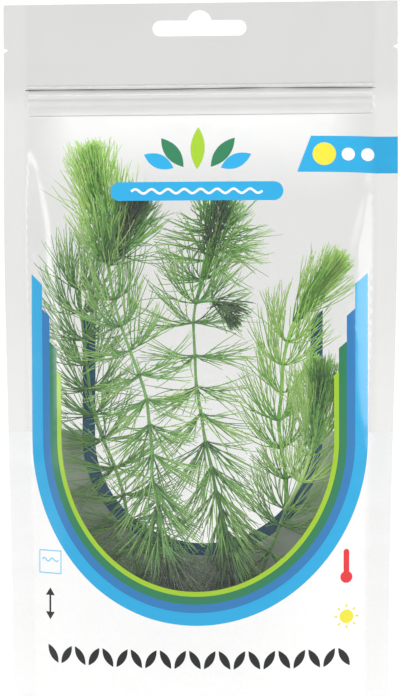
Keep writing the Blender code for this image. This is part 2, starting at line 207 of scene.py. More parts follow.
BRANCHES = (
    Branch("hornwort_tall_stem", "leaf_mid", (
        (-3.5, 0.9), (-4.5, 6.5), (-5.5, 16.5), (-6.5, 27), (-7, 37), (-8.5, 46.5), (-10, 54.5),
        (-12.5, 63), (-13, 71), (-15, 78.5), (-15, 87.5), (-16, 97.5), (-17, 106), (-19.5, 114),
        (-22.5, 122), (-25.5, 130), (-28, 139), (-30.4, 151.6),
    ), FRONT, FRONT, 4, (-3.0, 1.5), None, 13, 22, 13, (0.4, 0.72)),
    Branch("hornwort_tall_tip", "leaf_bright", (
        (-30.4, 151.6), (-31, 158.5), (-32, 164.5), (-33.5, 171.5), (-35, 178), (-36, 185), (-36.5, 190),
    ), MIDDLE, FRONT, 2, (1.0, 1.25), 0, 12, 24, 6, (0.7, 1.16)),
    Branch("hornwort_tall_shoot", "leaf_dark", (
        (-30, 150.4), (-26.5, 157), (-24.5, 163), (-22, 168.5), (-19.5, 173),
    ), FRONT, -0.72, 2, (1.0, 1.0), 0, 15, 21, 14, (0.52, 0.78)),
    Branch("hornwort_left_stem", "leaf_mid", (
        (-7.5, 0.9), (-9, 7), (-11, 16.5), (-14.5, 27), (-18.5, 36.5), (-21.5, 45.5), (-23.5, 54.5),
        (-25.5, 64), (-27, 72.5), (-30, 82), (-34, 91.5), (-37, 100), (-38.5, 108.5), (-39.5, 117),
        (-40.5, 126), (-41.5, 135), (-42, 143),
    ), BACK, BACK, 3, (-0.8, 1.3), None, 17, 22, 20, (0.68, 0.5)),
    Branch("hornwort_middle_stem", "leaf_mid", (
        (0.5, 0.9), (1, 7), (1.5, 16.5), (3, 27), (5, 36.5), (8, 45.5), (9.5, 54), (9, 61.5), (7, 68.5),
        (5.5, 75), (4, 83), (2, 91.5), (0.5, 101), (-1, 110), (-1.5, 120.5), (-2, 131.5), (-1.2, 138.2),
    ), MIDDLE, MIDDLE, 4, (-3.3, 0.5), None, 13, 22, 11, (0.42, 0.66)),
    Branch("hornwort_middle_tip", "leaf_dark", (
        (-1.2, 138.2), (1, 146), (2.5, 152.5), (4.5, 159.5), (6.5, 166), (8.5, 172.5),
    ), MIDDLE, MIDDLE, 2, (0.7, 0.3), 2, 18, 22, 40, (0.6, 1.0)),
    Branch("hornwort_middle_shoot", "leaf_dark", (
        (-1.2, 138.2), (5, 138.6), (9, 136.5), (12.5, 131.5),
    ), FRONT, -0.2, 2, (0.6, 0.7), 1, 12, 16, 26, (0.4, 0.75)),
    Branch("hornwort_right_stem", "leaf_mid", (
        (4.3, 0.9), (5, 7), (7, 16.5), (11, 27), (15.5, 36.5), (20, 45), (23.5, 53.5), (27, 62.5),
        (28.9, 67.8),
    ), BACK, BACK, 4, (-2.2, 0.7), None, 13, 22, 13, (0.5, 0.7)),
    Branch("hornwort_right_tip", "leaf_bright", (
        (28.9, 67.8), (29, 78), (27.5, 88.5), (26.5, 98), (27.5, 107.5), (28, 117), (29.5, 125),
        (31.5, 131), (35.5, 136.5), (40, 142.5), (44, 148), (47, 152),
    ), BACK, BACK, 2, (0.7, 1.7), 7, 13, 22, 9, (0.58, 1.38)),
    Branch("hornwort_right_shoot", "leaf_dark", (
        (28.9, 67.8), (34.5, 78), (37.5, 86.5), (39.5, 95), (41, 103.5), (41, 110), (40, 117.5),
    ), FRONT, 0.2, 2, (0.8, 1.1), 2, 13, 22, 15, (0.95, 1.35)),
)

# Colours
LEAF_STOPS = (
    (0.0, (0.014, 0.044, 0.012)), (0.25, (0.042, 0.165, 0.025)), (0.5, (0.1, 0.41, 0.035)),
    (0.75, (0.27, 0.67, 0.08)), (1.0, (0.6, 0.92, 0.24)),
)
LEAF_MOTTLE = 0.12
PALE_LEAF = (0.55, 0.66, 0.52)
LEAF_LOOKS = {  # name, roughness, share of the pale colour
    "leaf_bright": ("young_leaf", 0.4, 0.07),
    "leaf_mid": ("leaf", 0.45, 0.28),
    "leaf_dark": ("old_leaf", 0.5, 0.18),
}
INK_COLOURS = {
    "sky": (0.02, 0.38, 0.7),
    "blue": (0.028, 0.19, 0.46),
    "green": (0.026, 0.2, 0.09),
    "lime": (0.34, 0.56, 0.026),
    "navy": (0.03, 0.16, 0.42),
    "yellow": (0.81, 0.72, 0.045),
    "red": (0.75, 0.03, 0.04),
    "black": (0.008, 0.009, 0.01),
    "shade": (0.16, 0.16, 0.16),
    "pale": (0.2, 0.55, 0.8),
    "white": (0.875, 0.875, 0.87),
}
# Painted shade: the inner side of the white print is a little darker than the white ink.
SHADED_BACKING_COLOUR = (0.8, 0.8, 0.79)
PLASTIC_TONES = ((0.95, 0.95, 0.95), (0.99, 0.99, 0.99))
SMOKY, CLEAREST = (0.915, 0.915, 0.912), (0.982, 0.982, 0.98)
SMUDGE_SCALE, INK_SCALE, RIPPLE_SCALE, LEAF_SCALE, GRAIN_SCALE = 35, 900, 60, 260, 2400
CLOUD_SCALE, DIE_LINE_SCALE = 80, 900
RIPPLE_HEIGHT, GRAIN_HEIGHT = 0.05 * MM, 0.02 * MM
FILM_HAZE, FILM_ROUGHNESS = 0.005, 0.12
FILM_GLOSS, FILM_GRAZING = 0.025, 0.8

# How clear the film is, as a sum of products, with a painted sheen under the zip and painted shade on the
# header. A factor runs from one height (Z) or distance off the middle (X) in mm to another, and from one
# share to another.
CLARITY_AND_PAINTED_LIGHT = (
    (("Z", 100, 150, 0.5, 0.265),),  # the belly
    (("X", 58, 61, 0, 0.155),),  # the side welds
    (("Z", 170, 203, 0, 0.85), ("Z", 201, 204, 1, 0), ("X", 40, 58, 1, 0)),  # clearer just under the zip, a painted sheen
    (("Z", 203, 213, 0, -0.265),),  # darker header, painted shade
    (("Z", 201, 202.5, 0, 1), ("Z", 211.5, 212, 1, 0), ("X", 58.2, 59, 0.35, 0)),  # over the zip
)

# Stage, in metres: its front edge, where it curves up, half its width, the curve's radius and its top.
# It glows with a share that rises over a range of y.
STAGE_FRONT, STAGE_DEPTH, STAGE_WIDTH, STAGE_RADIUS, STAGE_TOP = -3.0, 2.0, 4.0, 0.6, 2.2
STAGE_STEPS = 16
STAGE_GLOW = (-0.25, 0.2, 0.1, 0.62)
WORLD_STRENGTH = 0.7
LIGHTS = (  # name, place, target, size, power
    ("overhead", (0, -0.45, 1.3), (0, 0, 0.15), (1.7, 0.6), 16),
    ("left_strip", (-0.94, -0.34, 0.2), (0, 0, 0.12), (0.14, 0.4), 0.9),
    ("right_strip", (1.0, 0.06, 0.2), (0, 0, 0.12), (0.5, 0.4), 2.8),
)
CAMERA_DISTANCE, CAMERA_AZIMUTH, CAMERA_Z, CAMERA_LENS = 700 * MM, 4.69, 118.5 * MM, 106.74
LOOK_AT = (0.24 * MM, 0, 122.83 * MM)


def smoothstep(low, high, value):
    share = min(max((value - low) / (high - low), 0.0), 1.0)
    return share * share * (3 - 2 * share)


def mix(a, b, share):
    return a + (b - a) * share


def half_width(z):
    return mix(HALF_WIDTH_BASE, HALF_WIDTH_TOP, smoothstep(WAIST_BASE_Z, WAIST_TOP_Z, z))


def seam_x(z):
    return half_width(z) - SEAL_WIDTH


def bulge(x, z):
    """How far each film's inner face stands off the middle plane."""
    across = min(abs(x) / seam_x(z), 1.0)
    belly = BELLY_DEPTH * (1 - (min(z, BELLY_TOP_Z) / BELLY_TOP_Z) ** BELLY_POWER)
    flatter = smoothstep(BELLY_ROUND_LOW_Z, BELLY_ROUND_HIGH_Z, z)
    power = mix(BELLY_ROUND_BASE, BELLY_ROUND_TOP, flatter)
    if z < ZIP_Z:
        zip_share = 1 - smoothstep(ZIP_REACH, ZIP_FADE, ZIP_Z - z)
    else:
        zip_share = 1 - smoothstep(ZIP_TOP, ZIP_TOP_END, z)
    at_zip = ZIP_STANDOFF * zip_share * (1 - smoothstep(ZIP_END, 1, across))
    return INNER_GAP + max(belly * (1 - across**power), at_zip)


# Materials

def new_material(name):
    made = bpy.data.materials.new(name)
    made.use_nodes = True
    return made, made.node_tree.nodes, made.node_tree.links


def set_inputs(node, **values):
    """Sets a node's inputs by name, with _ for a space."""
    for name, value in values.items():
        node.inputs[name.replace("_", " ")].default_value = value


def noise_node(nodes, links, scale):
    texture = nodes.new("ShaderNodeTexNoise")
    set_inputs(texture, Scale=scale, Detail=3)
    links.new(nodes.new("ShaderNodeTexCoord").outputs["Object"], texture.inputs["Vector"])
    return texture


def object_axes(nodes, links):
    """Sockets with a point's place along the piece's own X, Y and Z."""
    split = nodes.new("ShaderNodeSeparateXYZ")
    links.new(nodes.new("ShaderNodeTexCoord").outputs["Object"], split.inputs["Vector"])
    return split.outputs


def two_tone(nodes, links, texture, dark, light):
    ramp = nodes.new("ShaderNodeValToRGB")
    for stop, position, colour in zip(ramp.color_ramp.elements, (0.35, 0.65), (dark, light)):
        stop.position = position
        stop.color = (*colour, 1)
    links.new(texture.outputs["Fac"], ramp.inputs["Fac"])
    return ramp.outputs["Color"]


def add_bump(nodes, links, shader, height, distance):
    bump = nodes.new("ShaderNodeBump")
    set_inputs(bump, Distance=distance, Strength=1)
    links.new(height, bump.inputs["Height"])
    links.new(bump.outputs["Normal"], shader.inputs["Normal"])


def ink_material(name, colour, roughness=0.14):
    """Printed ink under a gloss laminate, with the faint mottle of print on film."""
    made, nodes, links = new_material(name)
    shader = nodes["Principled BSDF"]
    set_inputs(shader, Roughness=roughness)
    mottle = noise_node(nodes, links, INK_SCALE)
    dark = tuple(c * 0.99 for c in colour)
    light = tuple(min(c * 1.01, 1) for c in colour)
    links.new(two_tone(nodes, links, mottle, dark, light), shader.inputs["Base Color"])
    ripple = noise_node(nodes, links, RIPPLE_SCALE)
    add_bump(nodes, links, shader, ripple.outputs["Fac"], RIPPLE_HEIGHT)
    return made


def fade(nodes, links, value, low, high, start, end, kind="SMOOTHSTEP"):
    """A socket that runs from start to end while value runs from low to high."""
    ranged = nodes.new("ShaderNodeMapRange")
    ranged.interpolation_type = kind
    set_inputs(ranged, From_Min=low, From_Max=high, To_Min=start, To_Max=end)
    links.new(value, ranged.inputs["Value"])
    return ranged.outputs["Result"]


def combined(nodes, links, operation, first, second=None):
    """A socket with the result of a math node on one or two sockets."""
    made = nodes.new("ShaderNodeMath")
    made.operation = operation
    links.new(first, made.inputs[0])
    if second is not None:
        links.new(second, made.inputs[1])
    return made.outputs["Value"]


def mixed(nodes, links, first, second):
    """A shader node that mixes two, its share still to be set."""
    made = nodes.new("ShaderNodeMixShader")
    links.new(first.outputs[0], made.inputs[1])
    links.new(second.outputs[0], made.inputs[2])
    return made


def film_clarity_and_painted_light(nodes, links):
    """A socket with how clear the film is, with its painted sheen under the zip and painted shade on the
    header.
    """
    axes = object_axes(nodes, links)
    values = {"Z": axes["Z"], "X": combined(nodes, links, "ABSOLUTE", axes["X"])}

    def joined(operation, sockets):
        return reduce(lambda one, other: combined(nodes, links, operation, one, other), sockets)

    shares = []
    for factors in CLARITY_AND_PAINTED_LIGHT:
        shares.append(joined("MULTIPLY", [fade(nodes, links, values[axis], low * MM, high * MM, start, end)
                                          for axis, low, high, start, end in factors]))
    return joined("ADD", shares)


def film_material(name):
    """Clear film: light goes straight through, with Schlick's gloss from both sides and a little haze. Its
    tint is clearer under the zip as a painted sheen and darker on the header as painted shade.
    """
    made, nodes, links = new_material(name)
    nodes.remove(nodes["Principled BSDF"])
    through = nodes.new("ShaderNodeBsdfTransparent")
    smudge = noise_node(nodes, links, SMUDGE_SCALE)
    body = two_tone(nodes, links, smudge, tuple(c * 0.995 for c in SMOKY), SMOKY)
    tint_with_painted_light = nodes.new("ShaderNodeMixRGB")
    set_inputs(tint_with_painted_light, Color2=(*CLEAREST, 1))
    links.new(film_clarity_and_painted_light(nodes, links), tint_with_painted_light.inputs["Fac"])
    links.new(body, tint_with_painted_light.inputs["Color1"])
    links.new(tint_with_painted_light.outputs["Color"], through.inputs["Color"])
    cloudy = nodes.new("ShaderNodeBsdfDiffuse")
    set_inputs(cloudy, Color=(0.9, 0.9, 0.9, 1))
    hazy = mixed(nodes, links, through, cloudy)
    set_inputs(hazy, Fac=FILM_HAZE)
    gloss = nodes.new("ShaderNodeBsdfGlossy")
    set_inputs(gloss, Roughness=FILM_ROUGHNESS)
    weight = nodes.new("ShaderNodeLayerWeight")
    set_inputs(weight, Blend=0.5)
    grazing = combined(nodes, links, "POWER", weight.outputs["Facing"])
    grazing.node.inputs[1].default_value = 5
    surface = mixed(nodes, links, hazy, gloss)
    schlick = fade(nodes, links, grazing, 0, 1, FILM_GLOSS, FILM_GRAZING, "LINEAR")
    links.new(schlick, surface.inputs["Fac"])
    links.new(surface.outputs[0], nodes["Material Output"].inputs["Surface"])
    return made


def leaf_material(name, roughness, pale):
    """Green by the mesh's own vigour, from old and dark to young and bright, mottled by noise."""
    made, nodes, links = new_material(name)
    shader = nodes["Principled BSDF"]
    set_inputs(shader, Roughness=roughness, Specular_IOR_Level=0.25)
    vigour = nodes.new("ShaderNodeAttribute")
    vigour.attribute_name = "vigour"
    mottle = noise_node(nodes, links, LEAF_SCALE).outputs["Fac"]
    stray = fade(nodes, links, mottle, 0.3, 0.7, -LEAF_MOTTLE, LEAF_MOTTLE, "LINEAR")
    ramp = nodes.new("ShaderNodeValToRGB")
    stops = ramp.color_ramp.elements
    while len(stops) < len(LEAF_STOPS):
        stops.new(0.5)
    for stop, (position, colour) in zip(stops, LEAF_STOPS):
        stop.position = position
        stop.color = (*(mix(part, grey, pale) for part, grey in zip(colour, PALE_LEAF)), 1)
    links.new(combined(nodes, links, "ADD", vigour.outputs["Fac"], stray), ramp.inputs["Fac"])
    links.new(ramp.outputs["Color"], shader.inputs["Base Color"])
    grain = noise_node(nodes, links, GRAIN_SCALE)
    add_bump(nodes, links, shader, grain.outputs["Fac"], GRAIN_HEIGHT)
    return made


def plastic_material(name):
    """Milky extruded plastic, with the fine lines of its die."""
    made, nodes, links = new_material(name)
    shader = nodes["Principled BSDF"]
    set_inputs(shader, Roughness=0.35)
    cloud = noise_node(nodes, links, CLOUD_SCALE)
    links.new(two_tone(nodes, links, cloud, *PLASTIC_TONES), shader.inputs["Base Color"])
    lines = nodes.new("ShaderNodeTexWave")
    lines.bands_direction = "Z"
    set_inputs(lines, Scale=DIE_LINE_SCALE)
    links.new(nodes.new("ShaderNodeTexCoord").outputs["Object"], lines.inputs["Vector"])
    add_bump(nodes, links, shader, lines.outputs["Fac"], GRAIN_HEIGHT)
    return made


def film_materials():
    """Every ink, then the clear film and the grey inner side of the printed film, a little darker than the
    white ink as painted shade.
    """
    made = {name: ink_material(f"ink_{name}", colour) for name, colour in INK_COLOURS.items()}
    made["clear"] = film_material("clear_film")
    made["backing"] = ink_material("ink_backing", SHADED_BACKING_COLOUR, 0.4)
    return made


# Outlines of the film and its print, as (x, z) points

def metres(*sizes):
    return [size * MM for size in sizes]


def arc(centre, radii, start, end, step=EDGE_STEP):
    """Points along part of an ellipse, angles in degrees."""
    count = max(8, math.ceil(math.radians(abs(end - start)) * max(radii) / step))
    angles = [math.radians(mix(start, end, index / count)) for index in range(count + 1)]
    return [(centre[0] + radii[0] * math.cos(a), centre[1] + radii[1] * math.sin(a)) for a in angles]


def disc(x, z, radius):
    return arc((x, z), (radius, radius), 0, 360, DISC_STEP)[:-1]


def bar(x, z, half_length, half_height):
    """A bar with round ends."""
    radii = (half_height, half_height)
    right = arc((x + half_length - half_height, z), radii, -90, 90, BAR_STEP)
    left = arc((x - half_length + half_height, z), radii, 90, 270, BAR_STEP)
    return right + left


def rectangle(low_x, low_z, high_x, high_z):
    return [(low_x, low_z), (high_x, low_z), (high_x, high_z), (low_x, high_z)]


def ribbon(points, width):
    """The outline of a stroke of one width along a run of points."""
    above, below = [], []
    for index, (x, z) in enumerate(points):
        before = points[max(index - 1, 0)]
        after = points[min(index + 1, len(points) - 1)]
        run = Vector((after[0] - before[0], after[1] - before[1])).normalized()
        above.append((x - run.y * width / 2, z + run.x * width / 2))
        below.append((x + run.y * width / 2, z - run.x * width / 2))
    return above + below[::-1]


def wave(x, z, half_length, height, length, width):
    steps = round(2 * half_length / BAR_STEP)
    along = [mix(-half_length, half_length, index / steps) for index in range(steps + 1)]
    return ribbon([(x + a, z + height * math.sin(2 * math.pi * a / length)) for a in along], width)


def cup(radii, top):
    """The frame's outline at one radius: straight sides down to a half ellipse."""
    return [(-radii[0], top), *arc((0, FRAME_Z), radii, 180, 360), (radii[0], top)]


def band(outer, inner, top):
    """A stripe of the frame between two radii, its two ends cut on a slant."""
    rise = (outer[0] - inner[0]) * BAND_SLANT
    return cup(outer, top) + cup(inner, top - rise)[::-1]


def film_outline():
    """The panel's edge, with its two tear notches."""
    count = round(HEIGHT / EDGE_STEP)
    right = [(half_width(HEIGHT * i / count), HEIGHT * i / count) for i in range(count + 1)]
    right = [point for point in right if abs(point[1] - NOTCH_Z) > NOTCH_HEIGHT]
    notch = [
        (half_width(NOTCH_Z), NOTCH_Z - NOTCH_HEIGHT * 0.5),
        (half_width(NOTCH_Z) - NOTCH_DEPTH, NOTCH_Z),
        (half_width(NOTCH_Z), NOTCH_Z + NOTCH_HEIGHT * 0.5),
    ]
    right = sorted(right + notch, key=lambda point: point[1])
    left = [(-x, z) for x, z in reversed(right)]
    return right + left


def slot_outline():
    radius = SLOT_HEIGHT / 2
    straight = SLOT_LENGTH / 2 - radius
    crossing = math.degrees(math.asin((SLOT_Z + radius - SLOT_BUMP_Z) / SLOT_BUMP_RADIUS))
    right = arc((straight, SLOT_Z), (radius, radius), -90, 90, DISC_STEP)
    bump = arc((0, SLOT_BUMP_Z), (SLOT_BUMP_RADIUS, SLOT_BUMP_RADIUS), crossing, 180 - crossing, DISC_STEP)
    left = arc((-straight, SLOT_Z), (radius, radius), 90, 270, DISC_STEP)
    return right + bump + left


def leaf_mark(x, z, half_length, half_breadth, angle):
    """A pointed oval turned by an angle in degrees."""
    turn = math.radians(angle)
    points = []
    for side in (1, -1):
        for index in range(LEAF_MARK_STEPS):
            along = mix(-side, side, index / LEAF_MARK_STEPS)
            u, v = along * half_length, -side * (1 - along * along) * half_breadth
            points.append((x + u * math.cos(turn) - v * math.sin(turn),
                           z + u * math.sin(turn) + v * math.cos(turn)))
    return points


def zip_line():
    """A thin dark line along the zip, a painted shadow of the film's fold over it, uneven in width and
    height.
    """
    above, below = [], []
    for index in range(ZIP_LINE_STEPS + 1):
        x = mix(-1, 1, index / ZIP_LINE_STEPS) * (seam_x(ZIP_Z) - 0.2 * MM)
        z = ZIP_LINE_Z + 0.22 * MM * noise.noise(Vector((x * 22, 0.3, 0)))
        half = max(0.05, 0.17 + 0.22 * noise.noise(Vector((x * 55, 4.1, 0)))) * MM
        above.append((x, z + half))
        below.append((x, z - half))
    return above + below[::-1]


def arrow_mark(x, z, half_height):
    """A double-headed upright arrow."""
    head, shaft = ARROW_HEAD * MM, ARROW_SHAFT * MM
    neck = half_height - ARROW_HEAD_LENGTH * MM
    right = [(x, z - half_height), (x + head, z - neck), (x + shaft, z - neck), (x + shaft, z + neck),
             (x + head, z + neck), (x, z + half_height)]
    left = [(2 * x - px, pz) for px, pz in reversed(right[1:-1])]
    return right + left


def shrunk(inset):
    return FRAME_RX - inset, FRAME_RZ - inset


def bar_and_fan():
    """A rounded bar with a water line in it, and a fan of leaves over it."""
    shapes = [Shape("sky", bar(*metres(*WATER_BAR))), Shape("white", wave(*metres(*WATER_LINE)))]
    return shapes + [Shape(ink, leaf_mark(*metres(x, z, length, FAN_BREADTH), tilt))
                     for ink, x, z, length, tilt in FAN]


def side_tab():
    low, high = TAB_LOW * MM, TAB_HIGH * MM
    corners = [(TAB_LOW_END * MM, low), (PRINT_EDGE, low), (PRINT_EDGE, high), (TAB_HIGH_END * MM, high)]
    dots = [Shape(ink, disc(*metres(x, TAB_DOTS_Z, radius))) for ink, x, radius in TAB_DOTS]
    return [Shape("sky", corners), *dots]


def small_marks():
    """A square with a wave and an arrow at the left, a capsule with a disc and a sun at the right."""
    left, right, sun_z = LEFT_MARKS_X, RIGHT_MARKS_X, SUN_Z * MM
    shapes = [Shape(ink, rectangle(left - half * MM, low * MM, left + half * MM, high * MM))
              for ink, half, low, high in SQUARES]
    shapes.append(Shape("pale", wave(left, SQUARE_WAVE_Z * MM, *metres(*SQUARE_WAVE))))
    shapes.append(Shape("black", arrow_mark(left, *metres(*ARROW))))
    upright = [(right + z, CAPSULE_Z * MM + x) for x, z in bar(0, 0, *metres(*CAPSULE))]
    shapes.append(Shape("red", upright))
    shapes.append(Shape("red", disc(right, *metres(*CAPSULE_DISC))))
    shapes.append(Shape("yellow", disc(right, sun_z, SUN_RADIUS * MM)))
    for ray in range(SUN_RAYS):
        angle = 2 * math.pi * ray / SUN_RAYS
        ends = [(right + math.cos(angle) * r * MM, sun_z + math.sin(angle) * r * MM) for r in SUN_RAY]
        shapes.append(Shape("yellow", ribbon(ends, SUN_RAY_WIDTH * MM)))
    return shapes


def garland():
    """The row of black leaf pairs under the frame."""
    shapes = []
    for index in range(GARLAND_GAPS + 1):
        x = mix(-GARLAND_END, GARLAND_END, index / GARLAND_GAPS)
        outline = leaf_mark(*metres(x, GARLAND_Z, *GARLAND_LEAF), GARLAND_TILTS[index % 2])
        shapes.append(Shape("black", outline))
    return shapes


def window(radii):
    """White ink up to the level line, and the clear window in it."""
    return [Shape("white", rectangle(-PRINT_EDGE, -MM, PRINT_EDGE, LEVEL_Z)),
            Shape("clear", cup(radii, LEVEL_Z + MM))]


def front_print():
    """The front panel's print, from the lowest layer up."""
    stripes = [Shape(ink, band(shrunk(start * MM), shrunk(end * MM), top * MM))
               for ink, start, end, top in FRAME_BANDS]
    return [*window(shrunk(FRAME_INNER)), *stripes, Shape("shade", zip_line()), *bar_and_fan(), *side_tab(),
            *small_marks(), *garland()]


def back_print():
    inner = BACK_R - BACK_BAND
    return [*window((inner, inner)), Shape("navy", band((BACK_R, BACK_R), (inner, inner), BACK_TOP))]


# Film meshes

class Region:
    """A polygon that tells quickly whether it holds a point."""

    def __init__(self, outline):
        self.outline = outline
        xs, zs = zip(*outline)
        self.box = min(xs), max(xs), min(zs), max(zs)

    def holds(self, x, z):
        """Whether a point is in the polygon, by the crossings of a ray if it is in its box."""
        found = False
        low_x, high_x, low_z, high_z = self.box
        if low_x <= x <= high_x and low_z <= z <= high_z:
            x1, z1 = self.outline[-1]
            for x2, z2 in self.outline:
                if (z1 > z) != (z2 > z) and x < (x2 - x1) * (z - z1) / (z2 - z1) + x1:
                    found = not found
                x1, z1 = x2, z2
        return found


def spaced(outline, step=EDGE_STEP):
    """The closed outline with points added so that none are further apart than a step."""
    points = []
    for index, (x1, z1) in enumerate(outline):
        x2, z2 = outline[(index + 1) % len(outline)]
        count = max(1, math.ceil(math.hypot(x2 - x1, z2 - z1) / step))
        points += [(mix(x1, x2, i / count), mix(z1, z2, i / count)) for i in range(count)]
    return points


def level_line(z):
    count = round(2 * HALF_WIDTH_TOP / EDGE_STEP)
    return [(mix(-seam_x(z), seam_x(z), i / count), z) for i in range(count + 1)]


def fold_lines():
    """Open runs of points along the seams and the zip's ridges."""
    count = round(HEIGHT / EDGE_STEP)
    lines = []
    for side in (-1, 1):
        lines.append([(side * seam_x(HEIGHT * i / count), HEIGHT * i / count) for i in range(1, count)])
    for ridge, _ in ZIP_RIDGES:
        for offset in (-1, -0.5, 0, 0.5, 1):
            lines.append(level_line(ridge + offset * RIDGE_HALF))
    for share in (-0.7, 0, 0.5, 1, 1.7):
        lines.append(level_line(mix(ZIP_TOP, ZIP_TOP_END, share)))
    return lines


def film_triangles(shapes):
    """Triangulates the panel flat. Returns its (x, z) points and its (triangle, ink) list."""
    points, edges = [], []

    def add_run(run, closed):
        start = len(points)
        points.extend(run)
        edges.extend((start + i, start + i + 1) for i in range(len(run) - 1))
        if closed:
            edges.append((start + len(run) - 1, start))

    outline, slot = film_outline(), slot_outline()
    add_run(outline, True)
    add_run(slot, True)
    for shape in shapes:
        add_run(spaced(shape.outline), True)
    for line in fold_lines():
        add_run(line, False)
    tree = kdtree.KDTree(len(points))
    for index, (x, z) in enumerate(points):
        tree.insert((x, z, 0), index)
    tree.balance()
    rows = round(HEIGHT / GRID)
    columns = round(2 * HALF_WIDTH_TOP / GRID)
    for row in range(1, rows):
        z = HEIGHT * row / rows
        shift = 0.5 * (row % 2)
        for column in range(1, columns):
            x = half_width(z) * (2 * (column + shift) / columns - 1)
            if abs(x) < half_width(z) - KEEP_OFF and tree.find((x, z, 0))[2] > KEEP_OFF:
                points.append((x, z))
    flat = [Vector((x / MM, z / MM)) for x, z in points]
    result = geometry.delaunay_2d_cdt(flat, edges, [], 0, 1e-4)
    placed = [(p.x * MM, p.y * MM) for p in result[0]]
    panel, hole = Region(outline), Region(slot)
    regions = [(shape.ink, Region(shape.outline)) for shape in shapes]
    triangles = []
    for face in result[2]:
        x = sum(placed[i][0] for i in face) / 3
        z = sum(placed[i][1] for i in face) / 3
        if not panel.holds(x, z) or hole.holds(x, z):
            continue
        ink = "clear"
        for name, region in regions:
            if region.holds(x, z):
                ink = name
        a, b, c = (placed[i] for i in face)
        turn = (b[0] - a[0]) * (c[1] - a[1]) - (b[1] - a[1]) * (c[0] - a[0])
        triangles.append((tuple(face) if turn > 0 else tuple(reversed(face)), ink))
    return placed, triangles


def crumple(x, z, seed):
    """How far handled film stands out in dents, puckers and ridges, and how far its header curls."""
    slack = smoothstep(0, SLACK_REACH, seam_x(z) - abs(x)) * (1 - smoothstep(SLACK_TOP, SLACK_END, z))
    place = Vector((x, z * 0.7, seed))
    dents = sum(noise.noise(place * often) * height for often, height in DENTS)
    near_seam = math.exp(-(max(seam_x(z) - abs(x), 0) / PUCKER_REACH) ** 2)
    puckers = noise.noise(Vector((seed, z * PUCKERS[0], math.copysign(3, x)))) * PUCKERS[1] * near_seam
    ridge = 0
    ends = 1 - smoothstep(ZIP_END, 1, abs(x) / seam_x(z))
    for middle, height in ZIP_RIDGES:
        ridge += max(0, 1 - ((z - middle) / RIDGE_HALF) ** 2) * height * ends
    header = smoothstep(HEADER_Z, HEIGHT, z)
    curl = HEADER_CURL * header * math.sin(x * HEADER_WAVE[0] + HEADER_WAVE[1])
    return (dents * slack + puckers * (1 - header)) * MM + ridge, curl


def add_mesh(name, points, faces, materials):
    """A smooth mesh object in the scene."""
    mesh = bpy.data.meshes.new(name)
    mesh.from_pydata(points, [], faces)
    for material in materials:
        mesh.materials.append(material)
    mesh.shade_smooth()
    made = bpy.data.objects.new(name, mesh)
    bpy.context.scene.collection.objects.link(made)
    return made


def make_film(name, node, side, shapes, materials, seed):
    """One panel as a closed thin shell. side is -1 for the front and 1 for the back."""
    flat, triangles = film_triangles(shapes)
    used = sorted({i for face, _ in triangles for i in face})
    index_of = {old: new for new, old in enumerate(used)}
    count = len(used)
    outer, inner = [], []
    for old in used:
        x, z = flat[old]
        dent, curl = crumple(x, z, seed)
        stand = max(bulge(x, z) + dent, INNER_GAP)
        inner.append((x, side * stand + curl, z))
        outer.append((x, side * (stand + FILM) + curl, z))
    names = list(materials)
    faces, slots, sides_met = [], [], {}
    for face, ink in triangles:
        a, b, c = (index_of[i] for i in face)
        if side > 0:
            a, c = c, a
        faces.append((a, b, c))
        slots.append(names.index(ink))
        faces.append((c + count, b + count, a + count))
        slots.append(names.index("clear" if ink == "clear" else "backing" if ink == "white" else ink))
        for edge in ((a, b), (b, c), (c, a)):
            sides_met[edge] = ink
    for (a, b), ink in sides_met.items():
        if (b, a) not in sides_met:
            faces.append((b, a, a + count, b + count))
            slots.append(names.index(ink))
    film = add_mesh(name, outer + inner, faces, materials.values())
    film.data.polygons.foreach_set("material_index", slots)
    film.data.set_sharp_from_angle(angle=math.radians(SMOOTH_TO))
    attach(film, "root")
    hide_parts(node)


def gusset_rise(share):
    """How far the gusset's web has risen at a share of the way out to its ends."""
    return GUSSET_CORNER_RISE * smoothstep(BELLY_FLAT, 1, share) ** GUSSET_RISE_POWER


def gusset_section(x, share):
    """The gusset's points across the pouch at one x, from the front foot to the back foot."""
    fold = GUSSET_FOLD + gusset_rise(share)
    belly = CAD_FILM + gusset_rise(share)

    def wall(z):
        return max(bulge(x, z) - FLANGE_OFFSET, INNER_GAP)

    half = [(wall(z), z) for z in (GUSSET_FOOT, fold / 4, fold / 2, 3 * fold / 4, fold)]
    for across, height in reversed(WEB_PROFILE):
        half.append((wall(fold) * across, mix(belly, fold, height)))
    front = [(x, -y, z) for y, z in half]
    back = [(x, y, z) for y, z in reversed(half[:-1])]
    return front + back


def make_gusset(material):
    points, faces = [], []
    reach = seam_x(0) * GUSSET_END
    for step in range(GUSSET_STEPS + 1):
        along = 2 * step / GUSSET_STEPS - 1
        points.extend(gusset_section(along * reach, abs(along)))
    count = len(points) // (GUSSET_STEPS + 1)
    for row in range(GUSSET_STEPS):
        for column in range(count - 1):
            corner = row * count + column
            faces.append((corner, corner + 1, corner + count + 1, corner + count))
    gusset = add_mesh("gusset", points, faces, [material])
    solid = gusset.modifiers.new("Thickness", "SOLIDIFY")
    solid.thickness = FILM
    solid.offset = 1
    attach(gusset, "root")
    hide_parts("bottom_gusset")


# Plants

def room(x, z):
    """Half the depth a plant has between the films, less near the foot, where the gusset narrows it."""
    squeeze = mix(FOOT_SQUEEZE, 1, smoothstep(0, FOOT_SQUEEZE_TOP, z))
    return (bulge(x, z) - PLANT_CLEARANCE) * squeeze


